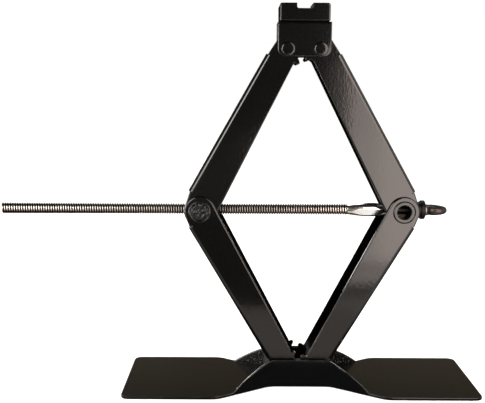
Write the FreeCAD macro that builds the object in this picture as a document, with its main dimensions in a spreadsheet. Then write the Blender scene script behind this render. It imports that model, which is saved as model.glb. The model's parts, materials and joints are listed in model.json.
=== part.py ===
import FreeCAD, Part
import Sketcher
import os
import re

# A car's scissor jack. The frame's origin is the middle of the underside of the base, X runs along
# the lifting screw and Z is up. The sizes are millimetres and degrees, at the height of the photograph.
SIZES = {
    # The linkage: four equal arms between the base, two trunnions and the saddle
    "arm_length": 182.4,
    "gear_pitch_radius": 16.0,
    "lift_angle": 61.7,
    "base_pivot_height": 21.6,
    # The stack across Y, from the inside of the upper arms outwards
    "channel_inside": 27.4,
    "arm_sheet": 2.5,
    "side_clearance": 0.4,
    "pivot_clearance": 0.1,
    "open_pivot_clearance": 0.35,
    "rivet_clearance": 0.05,
    # The arms' outlines: how far the web's back and the flange's lip stand from the line of pivots
    "upper_web_wide": 20.4,
    "upper_web_narrow": 16.0,
    "upper_lip": 11.6,
    "upper_web_gap": 12.4,
    "lower_web_wide": 18.6,
    "lower_web_narrow": 11.8,
    "lower_lip": 12.4,
    "lower_web_gap": 8.7,
    "web_start": 14.0,
    "upper_ear": 16.2,
    "lower_ear": 15.6,
    "arm_bend_radius": 4.6,
    # The gear sectors at the arms' narrow ends
    "gear_teeth": 10.0,
    "sector_teeth": 4.0,
    "gear_pressure_angle": 25.0,
    "gear_addendum": 2.2,
    "gear_dedendum": 2.4,
    "gear_backlash": 0.4,
    "tooth_root_sink": 1.0,
    # The pressed base
    "base_length": 360.0,
    "base_width": 112.0,
    "base_sheet": 3.0,
    "base_corner_radius": 8.0,
    "waist_half_length": 31.0,
    "flare_end": 84.0,
    "flare_inner_radius": 25.0,
    "flare_outer_radius": 22.0,
    "wall_height": 28.8,
    "wall_top_half_length": 28.0,
    "wall_foot_half_length": 68.0,
    "wall_corner_radius": 9.0,
    "wall_slope_radius": 140.0,
    # Rivets and spacers at the base and the saddle
    "pin_radius": 5.0,
    "countersink": 1.6,
    "pin_head_radius": 6.8,
    "pin_head_height": 2.6,
    "spacer_wall": 2.4,
    "spacer_end_play": 0.3,
    # The saddle
    "bracket_length": 52.0,
    "saddle_sheet": 2.6,
    "bracket_above_pins": 26.0,
    "bracket_below_pins": 7.2,
    "bracket_bend_radius": 3.0,
    "bracket_corner_radius": 7.0,
    "cap_length": 49.2,
    "cap_height": 17.8,
    "cap_sheet": 3.0,
    "cap_setback": 1.4,
    "cap_edge_radius": 1.6,
    "cap_corner_radius": 2.8,
    "cap_foot_chamfer": 1.2,
    "notch_width": 15.6,
    "notch_depth": 5.2,
    "notch_corner_radius": 1.8,
    # The left trunnion, a cross nut
    "nut_pin_radius": 9.4,
    "nut_barrel_radius": 12.0,
    "nut_head_radius": 11.4,
    "nut_head_height": 3.0,
    "nut_head_play": 0.2,
    "barrel_end_play": 0.3,
    # The right trunnion, a hollow cross bearing
    "tube_radius": 10.8,
    "tube_bore_radius": 7.0,
    "tube_proud": 0.6,
    "tube_barrel_radius": 13.2,
    "thrust_face": 11.6,
    # The lifting screw and what takes its thrust
    "screw_radius": 5.4,
    "screw_clearance": 0.3,
    "screw_reach": 408.0,
    "screw_end_chamfer": 1.6,
    "neck_radius": 4.6,
    "crimp_length": 42.0,
    "crimp_play": 0.6,
    "crimp_half_height": 7.0,
    "crimp_thickness": 7.2,
    "crimp_core_radius": 3.5,
    "crimp_taper": 9.0,
    "thrust_bush_radius": 8.4,
    "thrust_bush_length": 8.0,
    "thrust_collar_radius": 9.8,
    "thrust_collar_length": 4.2,
    "thrust_play": 0.1,
    "eye_radius": 11.6,
    "eye_thickness": 10.8,
    "eye_hole_radius": 5.7,
    "eye_edge_radius": 3.4,
    "eye_hole_chamfer": 0.6,
    "eye_shoulder_radius": 6.0,
    "eye_shoulder_length": 3.0,
}

# Half widths across Y, each from the one inside it
UPPER_INNER = "(channel_inside/2)"
UPPER_OUTER = f"({UPPER_INNER}+arm_sheet)"
LOWER_INNER = f"({UPPER_OUTER}+side_clearance)"
LOWER_OUTER = f"({LOWER_INNER}+arm_sheet)"
WALL_INNER = f"({LOWER_OUTER}+side_clearance)"
WALL_OUTER = f"({WALL_INNER}+base_sheet)"
CHEEK_INNER = f"({UPPER_OUTER}+side_clearance)"
CHEEK_OUTER = f"({CHEEK_INNER}+saddle_sheet)"

# Where the pivots are
TRUNNION_X = "(gear_pitch_radius+arm_length*cos(lift_angle))"
TRUNNION_Z = "(base_pivot_height+arm_length*sin(lift_angle))"
SADDLE_Z = "(base_pivot_height+2*arm_length*sin(lift_angle))"
PIVOTS = {"left": "-gear_pitch_radius", "right": "gear_pitch_radius"}

# The holes that turn on a trunnion or on the screw's neck
NUT_HOLE = "(nut_pin_radius+pivot_clearance)"
TUBE_HOLE = "(tube_radius+pivot_clearance)"
NECK_BORE = "(neck_radius+screw_clearance)"

# How close a measured length comes to the size it is compared with
LENGTH_TOLERANCE = 0.01

doc = FreeCAD.newDocument("scissor_jack")
sheet = doc.addObject("Spreadsheet::Sheet", "sizes")
for row, (alias, number) in enumerate(SIZES.items(), start=1):
    sheet.set(f"A{row}", str(number))
    sheet.setAlias(f"A{row}", alias)
doc.recompute()

sub_parts = []


def cell(expression):
    """The expression with each size's name turned into a reference to its cell."""
    return re.sub(r"[a-z][a-z_]*", lambda m: f"sizes.{m[0]}" if m[0] in SIZES else m[0], expression)


def value(expression):
    """The expression's number, worked out from the sheet."""
    return float(sheet.evalExpression(cell(expression)))


def origin_feature(body, role):
    """One of the body's own planes or axes, by its role."""
    return next(f for f in body.Origin.OriginFeatures if f.Role == role)


def new_body(label):
    """An empty body that becomes the sub-part of that name."""
    body = doc.addObject("PartDesign::Body", label)
    body.Label = label
    sub_parts.append(body)
    return body


def place(body, x="0", y="0", z="0", rotation=FreeCAD.Rotation()):
    """Puts a finished body where the linkage has it."""
    body.Placement = FreeCAD.Placement(FreeCAD.Vector(value(x), value(y), value(z)), rotation)
    for axis, expression in zip("xyz", (x, y, z)):
        body.setExpression(f"Placement.Base.{axis}", cell(expression))


def bound(sketch, kind, where, expression):
    """Adds one dimension to a sketch and binds it to the sheet."""
    index = sketch.addConstraint(Sketcher.Constraint(kind, *where, value(expression)))
    sketch.setExpression(f"Constraints[{index}]", cell(expression))


def outline(body, name, role, corners=(), circles=()):
    """A closed outline on one of the body's own planes, with every corner bound to the sheet.

    A corner is (x, y), or (x, y, radius, turn) where the edge that leaves it is an arc: turn is 1 for
    an arc that runs counter-clockwise and -1 for one that runs clockwise. A circle is (x, y, radius).
    """
    sketch = body.newObject("Sketcher::SketchObject", f"{body.Name}_{name}")
    sketch.AttachmentSupport = [(origin_feature(body, role), "")]
    sketch.MapMode = "FlatFace"
    normal = FreeCAD.Vector(0, 0, 1)
    points = [FreeCAD.Vector(value(corner[0]), value(corner[1]), 0) for corner in corners]
    ends = []
    for index, corner in enumerate(corners):
        start = points[index]
        end = points[(index + 1) % len(points)]
        if len(corner) == 2:
            sketch.addGeometry(Part.LineSegment(start, end))
            ends.append((1, 2))
            continue
        radius = value(corner[2])
        turn = corner[3]
        chord = end - start
        to_centre = FreeCAD.Vector(-chord.y, chord.x, 0).normalize() * turn
        sagitta_leg = max(radius ** 2 - (chord.Length / 2) ** 2, 0) ** 0.5
        circle = Part.Circle((start + end) / 2 + to_centre * sagitta_leg, normal, radius)
        first, last = (start, end) if turn > 0 else (end, start)
        sketch.addGeometry(Part.ArcOfCircle(circle, circle.parameter(first), circle.parameter(last)))
        ends.append((1, 2) if turn > 0 else (2, 1))
    for index, corner in enumerate(corners):
        before = (index - 1) % len(corners)
        joint = (before, ends[before][1], index, ends[index][0])
        sketch.addConstraint(Sketcher.Constraint("Coincident", *joint))
        bound(sketch, "DistanceX", (-1, 1, index, ends[index][0]), corner[0])
        bound(sketch, "DistanceY", (-1, 1, index, ends[index][0]), corner[1])
        if len(corner) > 2:
            bound(sketch, "Radius", (index,), corner[2])
    for x, y, radius in circles:
        centre = FreeCAD.Vector(value(x), value(y), 0)
        index = sketch.addGeometry(Part.Circle(centre, normal, value(radius)))
        bound(sketch, "DistanceX", (-1, 1, index, 3), x)
        bound(sketch, "DistanceY", (-1, 1, index, 3), y)
        bound(sketch, "Radius", (index,), radius)
    return sketch


def extrude(body, kind, sketch, length, side="Symmetric", reverse=False):
    """A Pad or a Pocket of the sketch, and a complaint if a Pocket takes nothing away."""
    before = body.Tip.Shape.Volume if body.Tip and kind == "Pocket" else 0
    feature = body.newObject(f"PartDesign::{kind}", f"{sketch.Name}_{kind}")
    feature.Profile = sketch
    feature.SideType = side
    feature.Reversed = reverse
    feature.setExpression("Length", cell(length))
    doc.recompute()
    if kind == "Pocket" and not feature.Shape.Volume < before:
        raise RuntimeError(f"{feature.Name} cuts nothing")
    return feature


def revolve(body, sketch, axis):
    """A full turn of the sketch about one of the body's own axes."""
    feature = body.newObject("PartDesign::Revolution", f"{sketch.Name}_turned")
    feature.Profile = sketch
    feature.ReferenceAxis = (origin_feature(body, axis), [""])
    feature.Angle = 360
    doc.recompute()
    return feature


def dress(body, kind, size, chosen):
    """A Fillet or a Chamfer on each edge whose middle the test picks."""
    base = body.Tip
    names = [f"Edge{i}" for i, edge in enumerate(base.Shape.Edges, start=1) if chosen(edge)]
    feature = body.newObject(f"PartDesign::{kind}", f"{base.Name}_{kind}")
    feature.Base = (base, names)
    feature.setExpression("Radius" if kind == "Fillet" else "Size", cell(size))
    doc.recompute()
    return feature


def near(number, expression):
    """Whether a measured number is the size that the expression gives."""
    return abs(number - value(expression)) < LENGTH_TOLERANCE


def negated(corners, x_sign, y_sign):
    """The corners mirrored in one axis or turned about the origin, in an order that closes the outline."""
    def signed(expression, sign):
        return f"-({expression})" if sign < 0 else expression
    return [(signed(corner[0], x_sign), signed(corner[1], y_sign), *corner[2:]) for corner in corners]


# The base: a plate that narrows to a waist, where its edges are folded up into two walls

FLARE = f"atan2(base_width/2-{WALL_OUTER};flare_end-waist_half_length)"
INNER_RUN = f"(flare_inner_radius*tan({FLARE}/2))"
OUTER_RUN = f"(flare_outer_radius*tan({FLARE}/2))"
HALF_LENGTH = "(base_length/2)"
HALF_WIDTH = "(base_width/2)"


def make_base():
    body = new_body("base")
    end_tip = (HALF_LENGTH, f"{HALF_WIDTH}-base_corner_radius")
    end_side = (f"{HALF_LENGTH}-base_corner_radius", HALF_WIDTH)
    flare_out = (f"flare_end+{OUTER_RUN}", HALF_WIDTH)
    flare_high = (f"flare_end-{OUTER_RUN}*cos({FLARE})", f"{HALF_WIDTH}-{OUTER_RUN}*sin({FLARE})")
    flare_low = (f"waist_half_length+{INNER_RUN}*cos({FLARE})", f"{WALL_OUTER}+{INNER_RUN}*sin({FLARE})")
    waist = (f"waist_half_length-{INNER_RUN}", WALL_OUTER)
    right = [
        (*end_tip, "base_corner_radius", 1),
        end_side,
        (*flare_out, "flare_outer_radius", 1),
        flare_high,
        (*flare_low, "flare_inner_radius", -1),
        waist,
    ]
    left = [
        (*waist, "flare_inner_radius", -1),
        flare_low,
        (*flare_high, "flare_outer_radius", 1),
        flare_out,
        (*end_side, "base_corner_radius", 1),
        end_tip,
    ]
    plan = right + negated(left, -1, 1) + negated(right, -1, -1) + negated(left, 1, -1)
    extrude(body, "Pad", outline(body, "plan", "XY_Plane", plan), "wall_height", side="One side")

    # The inside of the walls keeps the sheet's thickness along waist and flare
    bend = "(flare_inner_radius+base_sheet)"
    inner_waist = (waist[0], WALL_INNER)
    inner_flare = (f"{waist[0]}+{bend}*sin({FLARE})", f"{WALL_OUTER}+flare_inner_radius-{bend}*cos({FLARE})")
    inner_far = (f"{inner_flare[0]}+base_width*cos({FLARE})", f"{inner_flare[1]}+base_width*sin({FLARE})")
    right = [inner_far, (*inner_flare, bend, -1), inner_waist]
    left = [(*inner_waist, bend, -1), inner_flare, inner_far]
    inside = right + negated(left, -1, 1) + negated(right, -1, -1) + negated(left, 1, -1)
    sketch = outline(body, "inside", "XY_Plane", inside)
    sketch.setExpression("AttachmentOffset.Base.z", cell("base_sheet"))
    extrude(body, "Pocket", sketch, "wall_height", side="One side", reverse=True)

    # The walls curve down from their flat top to the plate
    for side, x_sign in (("right", 1), ("left", -1)):
        slope = [
            ("wall_foot_half_length", "base_sheet"),
            ("base_length", "base_sheet"),
            ("base_length", "2*wall_height"),
            ("wall_top_half_length", "2*wall_height"),
            ("wall_top_half_length", "wall_height", "wall_slope_radius", -x_sign),
        ]
        sketch = outline(body, f"slope_{side}", "XZ_Plane", negated(slope, x_sign, 1))
        extrude(body, "Pocket", sketch, "2*base_width")
    dress(body, "Fillet", "wall_corner_radius", lambda edge: (
        near(abs(edge.CenterOfMass.x), "wall_top_half_length") and near(edge.CenterOfMass.z, "wall_height")))

    pivots = [(x, "base_pivot_height", "pin_radius+rivet_clearance") for x in PIVOTS.values()]
    extrude(body, "Pocket", outline(body, "pin_holes", "XZ_Plane", circles=pivots), "base_width")
    dress(body, "Chamfer", "countersink", lambda edge: (
        near(abs(edge.CenterOfMass.y), WALL_OUTER) and near(edge.CenterOfMass.z, "base_pivot_height")
        and edge.isClosed()))


# The arms: U-channels with round ears at the trunnion and gear teeth at the other end. An arm is drawn
# along its own X, from the geared pivot at its origin, with the back of its web towards its own Z.

ROOT = "(gear_pitch_radius-gear_dedendum)"
TIP = "(gear_pitch_radius+gear_addendum)"
BASE_CIRCLE = "(gear_pitch_radius*cos(gear_pressure_angle))"
TOOTH_PITCH = "(360/gear_teeth)"
HALF_TOOTH = "(90/gear_teeth-gear_backlash/gear_pitch_radius*90/pi)"
PRESSURE_INVOLUTE = "(tan(gear_pressure_angle)*180/pi-gear_pressure_angle)"
TIP_ANGLE = f"(acos({BASE_CIRCLE}/{TIP})/(1 deg))"
ROOT_HALF_ANGLE = f"({HALF_TOOTH}+{PRESSURE_INVOLUTE})"
TIP_HALF_ANGLE = f"({ROOT_HALF_ANGLE}-tan({TIP_ANGLE})*180/pi+{TIP_ANGLE})"
FLANK_RADIUS = f"sqrt((({BASE_CIRCLE}+{TIP})/2)^2-{BASE_CIRCLE}^2)"


def polar(radius, angle):
    """A point by its distance and angle, as a pair of expressions."""
    return (f"({radius})*cos({angle})", f"({radius})*sin({angle})")


def make_arm(level, side, first_tooth, turned, pivot_z, trunnion_hole, pin_play):
    label = f"{level}_{side}_arm"
    body = new_body(label)
    inner, outer = (UPPER_INNER, UPPER_OUTER) if level == "upper" else (LOWER_INNER, LOWER_OUTER)
    narrow = f"{level}_web_narrow"
    lip = f"{level}_lip"
    gap = f"{level}_web_gap"
    ear = f"{level}_ear"
    web_end = f"(arm_length-{gap})"

    def web_back(along):
        return f"({narrow}+({level}_web_wide-{narrow})*({along})/arm_length)"

    # The ear's two tangent points, and where the lip runs into the gear's root circle
    back_end = web_back(web_end)
    ear_back = f"(atan2({back_end};-{gap})-acos({ear}/sqrt({gap}^2+{back_end}^2)))"
    lip_start = f"sqrt({ROOT}^2-{lip}^2)"
    lip_run = f"(arm_length-{lip_start})"
    ear_lip = f"(atan({lip}/{lip_run})+acos({ear}/sqrt({lip_run}^2+{lip}^2)))"
    profile = [
        ("web_start", web_back("web_start")),
        (web_end, back_end),
        (f"arm_length+{ear}*cos({ear_back})", f"{ear}*sin({ear_back})", ear, -1),
        (f"arm_length+{ear}", "0", ear, -1),
        (f"arm_length-{ear}*cos({ear_lip})", f"-{ear}*sin({ear_lip})"),
        (lip_start, f"-{lip}", ROOT, -1),
        (f"-{ROOT}", "0", ROOT, -1),
        ("0", ROOT),
    ]
    holes = [("0", "0", f"pin_radius+{pin_play}"), ("arm_length", "0", trunnion_hole)]
    extrude(body, "Pad", outline(body, "profile", "XZ_Plane", profile, holes), f"2*{outer}")

    # The outside of the two folds between the web and the flanges
    fold = f"sqrt(({web_end}-web_start)^2+({back_end}-{web_back('web_start')})^2)"
    dress(body, "Fillet", "arm_bend_radius", lambda edge: (
        near(abs(edge.CenterOfMass.y), outer) and near(edge.Length, fold) and edge.CenterOfMass.z > 0))

    # One tooth with involute flanks, repeated around the pivot
    middle = f"({first_tooth}*{TOOTH_PITCH}-180+lift_angle)"
    sink = f"({ROOT}-tooth_root_sink)"
    tooth = [
        polar(sink, f"{middle}-{ROOT_HALF_ANGLE}"),
        (*polar(BASE_CIRCLE, f"{middle}-{ROOT_HALF_ANGLE}"), FLANK_RADIUS, 1),
        polar(TIP, f"{middle}-{TIP_HALF_ANGLE}"),
        (*polar(TIP, f"{middle}+{TIP_HALF_ANGLE}"), FLANK_RADIUS, 1),
        polar(BASE_CIRCLE, f"{middle}+{ROOT_HALF_ANGLE}"),
        polar(sink, f"{middle}+{ROOT_HALF_ANGLE}"),
    ]
    first = extrude(body, "Pad", outline(body, "tooth", "XZ_Plane", tooth), f"2*{outer}")
    teeth = body.newObject("PartDesign::PolarPattern", f"{label}_teeth")
    teeth.Originals = [first]
    teeth.Axis = (origin_feature(body, "Y_Axis"), [""])
    teeth.setExpression("Angle", cell(f"(sector_teeth-1)*{TOOTH_PITCH}"))
    teeth.setExpression("Occurrences", cell("sector_teeth"))
    body.Tip = teeth
    doc.recompute()

    # Everything between the flanges but the web is open
    beyond = "(2*arm_length)"
    channel = [
        ("-arm_length", "-arm_length"),
        (beyond, "-arm_length"),
        (beyond, "arm_length"),
        (web_end, "arm_length"),
        (web_end, f"{back_end}-arm_sheet"),
        ("web_start", f"{web_back('web_start')}-arm_sheet"),
        ("web_start", "arm_length"),
        ("-arm_length", "arm_length"),
    ]
    extrude(body, "Pocket", outline(body, "channel", "XZ_Plane", channel), f"2*{inner}")
    dress(body, "Fillet", "arm_bend_radius-arm_sheet", lambda edge: (
        near(abs(edge.CenterOfMass.y), inner) and near(edge.Length, fold) and edge.CenterOfMass.z > 0))
    lean = FreeCAD.Rotation(FreeCAD.Vector(0, 1, 0), value("lift_angle-180"))
    place(body, x=PIVOTS[side], z=pivot_z, rotation=turned * lean)


# Pins, spacers and rings: turned about the Y of the pivots or the X of the screw


def make_turned(label, axis, corners, x, z):
    """A turned piece. A corner is (along the axis, radius), or with an arc as an outline has it."""
    body = new_body(label)
    if axis == "Y_Axis":
        corners = [(corner[1], corner[0], *corner[2:]) for corner in corners]
    revolve(body, outline(body, "section", "XY_Plane", corners), axis)
    place(body, x=x, z=z)
    return body


def make_base_pin(label, x):
    """A rivet whose ends fill the countersinks, flush with the walls."""
    neck = f"{WALL_OUTER}-countersink"
    wide = "pin_radius+countersink"
    make_turned(label, "Y_Axis", [
        (f"-{WALL_OUTER}", "0"),
        (f"-{WALL_OUTER}", wide),
        (f"-({neck})", "pin_radius"),
        (neck, "pin_radius"),
        (WALL_OUTER, wide),
        (WALL_OUTER, "0"),
    ], x, "base_pivot_height")


def dome(radius, height):
    """The radius of a domed head of that size."""
    return f"(({radius})^2+({height})^2)/(2*({height}))"


def make_saddle_pin(label, x):
    """A rivet with a round head outside each cheek of the bracket."""
    top = f"{CHEEK_OUTER}+pin_head_height"
    head = dome("pin_head_radius", "pin_head_height")
    make_turned(label, "Y_Axis", [
        (f"-({top})", "0", head, 1),
        (f"-{CHEEK_OUTER}", "pin_head_radius"),
        (f"-{CHEEK_OUTER}", "pin_radius"),
        (CHEEK_OUTER, "pin_radius"),
        (CHEEK_OUTER, "pin_head_radius", head, 1),
        (top, "0"),
    ], x, SADDLE_Z)


def make_ring(label, axis, start, end, bore, radius, x, z):
    """A plain ring or tube from start to end along its axis."""
    return make_turned(label, axis, [(start, bore), (start, radius), (end, radius), (end, bore)], x, z)


def make_spacer(label, half_gap, x, z):
    """A tube on a pin that keeps an arm's two flanges apart."""
    half = f"({half_gap}-spacer_end_play)"
    bore = "(pin_radius+rivet_clearance)"
    make_ring(label, "Y_Axis", f"-{half}", half, bore, f"{bore}+spacer_wall", x, z)


# The saddle: an inverted U over the upper arms, and a notched cap on top of it


def make_saddle_bracket():
    body = new_body("saddle_bracket")
    top = "bracket_above_pins"
    shoulder = f"{CHEEK_OUTER}-bracket_bend_radius"
    section = [
        (CHEEK_OUTER, "-bracket_below_pins"),
        (CHEEK_OUTER, f"{top}-bracket_bend_radius", "bracket_bend_radius", 1),
        (shoulder, top),
        (f"-({shoulder})", top, "bracket_bend_radius", 1),
        (f"-{CHEEK_OUTER}", f"{top}-bracket_bend_radius"),
        (f"-{CHEEK_OUTER}", "-bracket_below_pins"),
        (f"-{CHEEK_INNER}", "-bracket_below_pins"),
        (f"-{CHEEK_INNER}", f"{top}-saddle_sheet"),
        (CHEEK_INNER, f"{top}-saddle_sheet"),
        (CHEEK_INNER, "-bracket_below_pins"),
    ]
    extrude(body, "Pad", outline(body, "section", "YZ_Plane", section), "bracket_length")
    dress(body, "Fillet", "bracket_corner_radius", lambda edge: (
        near(edge.CenterOfMass.z, "-bracket_below_pins") and near(edge.Length, "saddle_sheet")
        and near(abs(edge.CenterOfMass.x), "bracket_length/2")))
    holes = [(x, "0", "pin_radius+rivet_clearance") for x in PIVOTS.values()]
    extrude(body, "Pocket", outline(body, "pin_holes", "XZ_Plane", circles=holes), "base_width")
    place(body, z=SADDLE_Z)


def make_saddle_cap():
    body = new_body("saddle_cap")
    foot = "bracket_above_pins"
    top = "(bracket_above_pins+cap_height)"
    half_width = f"({CHEEK_OUTER}-cap_setback)"
    front = [
        ("-cap_length/2", foot),
        ("cap_length/2", foot),
        ("cap_length/2", top),
        ("notch_width/2", top),
        ("notch_width/2", f"{top}-notch_depth"),
        ("-notch_width/2", f"{top}-notch_depth"),
        ("-notch_width/2", top),
        ("-cap_length/2", top),
    ]
    extrude(body, "Pad", outline(body, "front", "XZ_Plane", front), f"2*{half_width}")
    dress(body, "Fillet", "cap_corner_radius", lambda edge: (
        near(edge.CenterOfMass.z, top) and near(abs(edge.CenterOfMass.x), "cap_length/2")))
    dress(body, "Fillet", "notch_corner_radius", lambda edge: (
        near(edge.CenterOfMass.z, f"{top}-notch_depth") and near(abs(edge.CenterOfMass.x), "notch_width/2")))
    dress(body, "Fillet", "cap_edge_radius", lambda edge: (
        near(edge.CenterOfMass.z, top) and near(abs(edge.CenterOfMass.y), half_width)))
    dress(body, "Chamfer", "cap_foot_chamfer", lambda edge: (
        near(edge.CenterOfMass.z, foot) and near(abs(edge.CenterOfMass.y), half_width)))
    step = "(notch_width/2+cap_sheet)"
    hollow = [
        ("-cap_length", "0"),
        ("cap_length", "0"),
        ("cap_length", f"{top}-cap_sheet"),
        (step, f"{top}-cap_sheet"),
        (step, f"{top}-notch_depth-cap_sheet"),
        (f"-{step}", f"{top}-notch_depth-cap_sheet"),
        (f"-{step}", f"{top}-cap_sheet"),
        ("-cap_length", f"{top}-cap_sheet"),
    ]
    extrude(body, "Pocket", outline(body, "hollow", "XZ_Plane", hollow), f"2*({half_width}-cap_sheet)")
    place(body, z=SADDLE_Z)


# The trunnions, which the screw draws together


def make_left_trunnion():
    """A cross nut: a barrel between the arms, with a pin through each pair of ears and a peened head."""
    barrel_end = f"({UPPER_INNER}-barrel_end_play)"
    seat = f"({LOWER_OUTER}+nut_head_play)"
    crown = f"({seat}+nut_head_height)"
    head = dome("nut_head_radius", "nut_head_height")
    body = make_turned("left_trunnion", "Y_Axis", [
        (f"-{crown}", "0", head, 1),
        (f"-{seat}", "nut_head_radius"),
        (f"-{seat}", "nut_pin_radius"),
        (f"-{barrel_end}", "nut_pin_radius"),
        (f"-{barrel_end}", "nut_barrel_radius"),
        (barrel_end, "nut_barrel_radius"),
        (barrel_end, "nut_pin_radius"),
        (seat, "nut_pin_radius"),
        (seat, "nut_head_radius", head, 1),
        (crown, "0"),
    ], f"-{TRUNNION_X}", TRUNNION_Z)
    bore = [("0", "0", "screw_radius+screw_clearance")]
    extrude(body, "Pocket", outline(body, "screw_bore", "YZ_Plane", circles=bore), "4*nut_barrel_radius")


def make_right_trunnion():
    """A hollow cross bearing: a tube through the ears, with a barrel that the screw's neck crosses."""
    barrel_end = f"({UPPER_INNER}-barrel_end_play)"
    tube_end = f"({LOWER_OUTER}+tube_proud)"
    body = make_turned("right_trunnion", "Y_Axis", [
        (f"-{tube_end}", "tube_bore_radius"),
        (f"-{tube_end}", "tube_radius"),
        (f"-{barrel_end}", "tube_radius"),
        (f"-{barrel_end}", "tube_barrel_radius"),
        (barrel_end, "tube_barrel_radius"),
        (barrel_end, "tube_radius"),
        (tube_end, "tube_radius"),
        (tube_end, "tube_bore_radius"),
    ], TRUNNION_X, TRUNNION_Z)
    neck_hole = [("0", "0", NECK_BORE)]
    extrude(body, "Pocket", outline(body, "neck_hole", "YZ_Plane", circles=neck_hole), "4*tube_barrel_radius")
    flat = [
        ("thrust_face", f"-{UPPER_INNER}"),
        ("2*tube_barrel_radius", f"-{UPPER_INNER}"),
        ("2*tube_barrel_radius", UPPER_INNER),
        ("thrust_face", UPPER_INNER),
    ]
    extrude(body, "Pocket", outline(body, "thrust_flat", "XY_Plane", flat), "4*tube_barrel_radius")


# The lifting screw, drawn from the middle of the right trunnion: its threaded length, the crimped flat
# that holds it in the bearing, its plain neck and the eye for the crank's hook

BUSH_END = "(thrust_face+thrust_bush_length)"
COLLAR_END = f"({BUSH_END}+thrust_collar_length)"
SHOULDER = f"({COLLAR_END}+thrust_play)"
EYE_X = f"({SHOULDER}+eye_radius)"
CRIMP_NEAR = "(tube_barrel_radius+crimp_play)"
CRIMP_FAR = f"({CRIMP_NEAR}+crimp_length)"


def make_lifting_screw():
    body = new_body("lifting_screw")
    disc = [(EYE_X, "0", "eye_radius")]
    extrude(body, "Pad", outline(body, "eye", "XY_Plane", circles=disc), "eye_thickness")
    dress(body, "Fillet", "eye_edge_radius", lambda edge: near(abs(edge.CenterOfMass.z), "eye_thickness/2"))
    hole = [(EYE_X, "0", "eye_hole_radius")]
    extrude(body, "Pocket", outline(body, "eye_hole", "XY_Plane", circles=hole), "2*eye_thickness")
    dress(body, "Chamfer", "eye_hole_chamfer", lambda edge: (
        edge.isClosed() and near(abs(edge.CenterOfMass.z), "eye_thickness/2")
        and near(edge.BoundBox.XLength, "2*eye_hole_radius")))

    bar = [
        ("-screw_reach", "0"),
        (f"{SHOULDER}+eye_shoulder_length", "0"),
        (f"{SHOULDER}+eye_shoulder_length", "eye_shoulder_radius"),
        (SHOULDER, "eye_shoulder_radius"),
        (SHOULDER, "neck_radius"),
        (f"-{CRIMP_NEAR}", "neck_radius"),
        (f"-{CRIMP_NEAR}-crimp_taper", "crimp_core_radius"),
        (f"-{CRIMP_FAR}+crimp_taper", "crimp_core_radius"),
        (f"-{CRIMP_FAR}", "screw_radius"),
        ("-screw_reach+screw_end_chamfer", "screw_radius"),
        ("-screw_reach", "screw_radius-screw_end_chamfer"),
    ]
    revolve(body, outline(body, "bar", "XY_Plane", bar), "X_Axis")
    crimp = [
        (f"-{CRIMP_FAR}", "-screw_radius"),
        (f"-{CRIMP_FAR}+crimp_taper", "-crimp_half_height"),
        (f"-{CRIMP_NEAR}-crimp_taper", "-crimp_half_height"),
        (f"-{CRIMP_NEAR}", "-neck_radius"),
        (f"-{CRIMP_NEAR}", "neck_radius"),
        (f"-{CRIMP_NEAR}-crimp_taper", "crimp_half_height"),
        (f"-{CRIMP_FAR}+crimp_taper", "crimp_half_height"),
        (f"-{CRIMP_FAR}", "screw_radius"),
    ]
    extrude(body, "Pad", outline(body, "crimp", "XZ_Plane", crimp), "crimp_thickness")
    place(body, x=TRUNNION_X, z=TRUNNION_Z)


HALF_TURN = 180
SAME_WAY = FreeCAD.Rotation()
ABOUT_X = FreeCAD.Rotation(FreeCAD.Vector(1, 0, 0), HALF_TURN)
ABOUT_Y = FreeCAD.Rotation(FreeCAD.Vector(0, 1, 0), HALF_TURN)
ABOUT_Z = FreeCAD.Rotation(FreeCAD.Vector(0, 0, 1), HALF_TURN)

make_base()
# At rest a gap between two teeth of a left arm faces a tooth of the right arm beside it
LEFT_TOOTH = 1.5
RIGHT_TOOTH = 1
make_arm("lower", "left", LEFT_TOOTH, SAME_WAY, "base_pivot_height", NUT_HOLE, "pivot_clearance")
make_arm("lower", "right", RIGHT_TOOTH, ABOUT_Z, "base_pivot_height", TUBE_HOLE, "pivot_clearance")
make_arm("upper", "left", LEFT_TOOTH, ABOUT_X, SADDLE_Z, NUT_HOLE, "pivot_clearance")
make_arm("upper", "right", RIGHT_TOOTH, ABOUT_Y, SADDLE_Z, TUBE_HOLE, "open_pivot_clearance")
make_saddle_bracket()
make_saddle_cap()
for side, pivot in PIVOTS.items():
    make_base_pin(f"base_pin_{side}", pivot)
    make_spacer(f"base_spacer_{side}", LOWER_INNER, pivot, "base_pivot_height")
    make_saddle_pin(f"saddle_pin_{side}", pivot)
    make_spacer(f"saddle_spacer_{side}", UPPER_INNER, pivot, SADDLE_Z)
make_left_trunnion()
make_right_trunnion()
for ring, start, end in (("thrust_bush", "thrust_face", BUSH_END), ("thrust_collar", BUSH_END, COLLAR_END)):
    make_ring(ring, "X_Axis", start, end, NECK_BORE, f"{ring}_radius", TRUNNION_X, TRUNNION_Z)
make_lifting_screw()

doc.recompute()
failed = [item.Label for item in doc.Objects if {"Invalid", "Error"} & set(item.State)]
if failed:
    raise RuntimeError(f"not recomputed: {failed}")
for body in sub_parts:
    if body.Shape.isNull() or not body.Shape.isValid() or len(body.Shape.Solids) != 1:
        raise RuntimeError(f"{body.Label} is not one valid solid")

os.makedirs("parts", exist_ok=True)
for body in sub_parts:
    body.Shape.exportStep(f"parts/{body.Label}.step")
    box = body.Shape.BoundBox
    corners = (box.XMin, box.YMin, box.ZMin, box.XMax, box.YMax, box.ZMax)
    print(body.Label, f"{body.Shape.Volume / 1000:.2f} cm3", [round(c, 1) for c in corners])
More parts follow.
